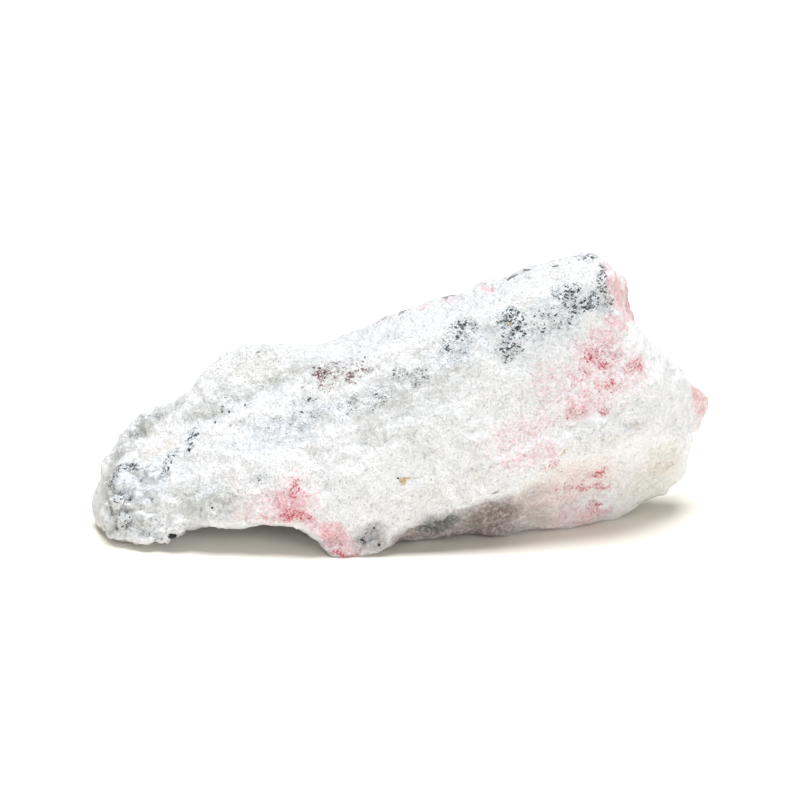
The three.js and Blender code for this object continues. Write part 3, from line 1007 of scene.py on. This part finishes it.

    # Dark flakes, maroon specks, stray grey ones, and dark flecks of painted shade in the gaps
    # where it is rough.
    tone = blend(tree, times(flakes, ramp(tree, small, 0.35, 0.6, 0.05, 0.4)), tone, SMOKE)
    clumps = times(flakes, plus(times(mid, 0.6), 0.4))
    maroons = field("maroon")
    for tilt in FLAKE_TILTS:
        stray = sprinkle(flecks, "stray grey", tilt,
                         plus(ramp(tree, mid, 0.42, 0.7, 0.16, 0.5), times(grey, 0.2),
                              times(rough, 0.15)))
        tone = blend(tree, times(stray, 0.7), tone, WARM_GREY)
        maroon = plus(sprinkle(plates, "maroon plate", tilt, times(maroons, 0.6)),
                      sprinkle(flecks, "maroon", tilt, maroons))
        tone = blend(tree, times(maroon, 0.8), tone, MAROON_RED)
        dust = sprinkle(flecks, "flake dust", tilt,
                        times(ramp(tree, clumps, 0.0, 0.35, 0.0, 0.8),
                              ramp(tree, mid, 0.4, 0.6, 0.5, 1.0)))
        tone = blend(tree, times(dust, 0.65), tone, FLAKE_BLUE)
        many = sprinkle(flecks, "flake", tilt, times(clumps, 0.95))
        tone = blend(tree, times(many, 0.9), tone, FLAKE_BLUE)
        bold = sprinkle(plates, "bold flake", tilt,
                        ramp(tree, clumps, 0.2, 0.75, 0.0, 0.95))
        tone = blend(tree, times(bold, 0.92), tone, FLAKE_BLACK)
        # Painted shade: dark flecks between the grains where the rock is rough, more in its
        # hollows.
        gap_shade = sprinkle(flecks, "gap_shade", tilt, times(rough, plus(times(hollow_shade, 0.5), 0.25)))
        tone = blend(tree, times(gap_shade, 0.6), tone, WARM_GREY)

    # White painted glints, the marks placed one by one, and painted shade that darkens what
    # faces up.
    glints = sprinkle(flecks, "glint", GLINT_TILT,
                      times(plus(flakes, times(pink, 0.6)), 0.5))
    tone = blend(tree, times(glints, 0.8), tone, WHITE)
    uneven = times(sums(tree, "SUBTRACT", small, 0.5), 2.0)
    tone = marked(tone, on_stone(net, RIMS), uneven, RIM_GREY)
    tone = marked(tone, on_stone(net, OCHRE), uneven, OCHRE_BROWN)
    tone = marked(tone, on_stone(net, SPOTS), uneven, FLAKE_BLACK)
    # The attribute named dust holds painted shade: the tone is darkened where a face looks up.
    tone = arrows(tree, "SCALE", tone, scale=sums(tree, "SUBTRACT", 1.0,
                                                  times(field("dust"), TOP_SHADE_DARKENS)))

    # The crystals stand out a little, and each has a gloss of its own.
    height = plus(times(fine["Height"], plus(times(rough, 0.5), 0.35)),
                  times(coarse["Height"], plus(times(rough, 0.8), 0.3)),
                  times(small, 0.8), times(ramp(tree, tiny, 0.55, 0.75), -0.5))
    bump = add(tree, "ShaderNodeBump", {"Strength": 1.0, "Distance": BUMP_DEPTH * METRES,
                                        "Height": height})
    roughness = plus(times(fine["Tone"], 0.25), 0.42)
    shader = add(tree, "ShaderNodeBsdfPrincipled",
                 {"Base Color": tone, "Roughness": roughness, "Normal": bump.outputs[0],
                  "Subsurface Weight": 0.2, "Subsurface Radius": (1.0, 0.9, 0.85),
                  "Subsurface Scale": GLOW_DEPTH * METRES, "IOR": 1.5})
    output = tree.nodes.new("ShaderNodeOutputMaterial")
    tree.links.new(shader.outputs[0], output.inputs["Surface"])
    return material


def paper_finish():
    material = bpy.data.materials.new("white_paper")
    material.use_nodes = True
    shader = material.node_tree.nodes["Principled BSDF"]
    shader.inputs["Base Color"].default_value = PAPER_WHITE
    shader.inputs["Roughness"].default_value = PAPER_ROUGHNESS
    shader.inputs["Specular IOR Level"].default_value = 0.0
    return material


FLOOR_HALF = 2500  # half the floor's width


def make_floor():
    half = FLOOR_HALF * METRES
    mesh = bpy.data.meshes.new("floor")
    mesh.from_pydata([(-half, -half, 0), (half, -half, 0), (half, half, 0),
                      (-half, half, 0)], [], [(0, 1, 2, 3)])
    mesh.materials.append(paper_finish())
    floor = bpy.data.objects.new("floor", mesh)
    bpy.context.scene.collection.objects.link(floor)


# ---------------------------------------------------------------- the scene

make_camera()
make_light()
make_floor()

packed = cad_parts[STONE]
net = stone_net(packed)
stone = fine_stone(packed, rock_finish(net))
keep_in_box(stone.data)
lay_fields(stone.data, {name: {**on_stone(net, patches), **FAR_SIDES.get(name, {})}
                        for name, patches in FIELDS.items()})
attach(stone, BODY)
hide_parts(STONE)
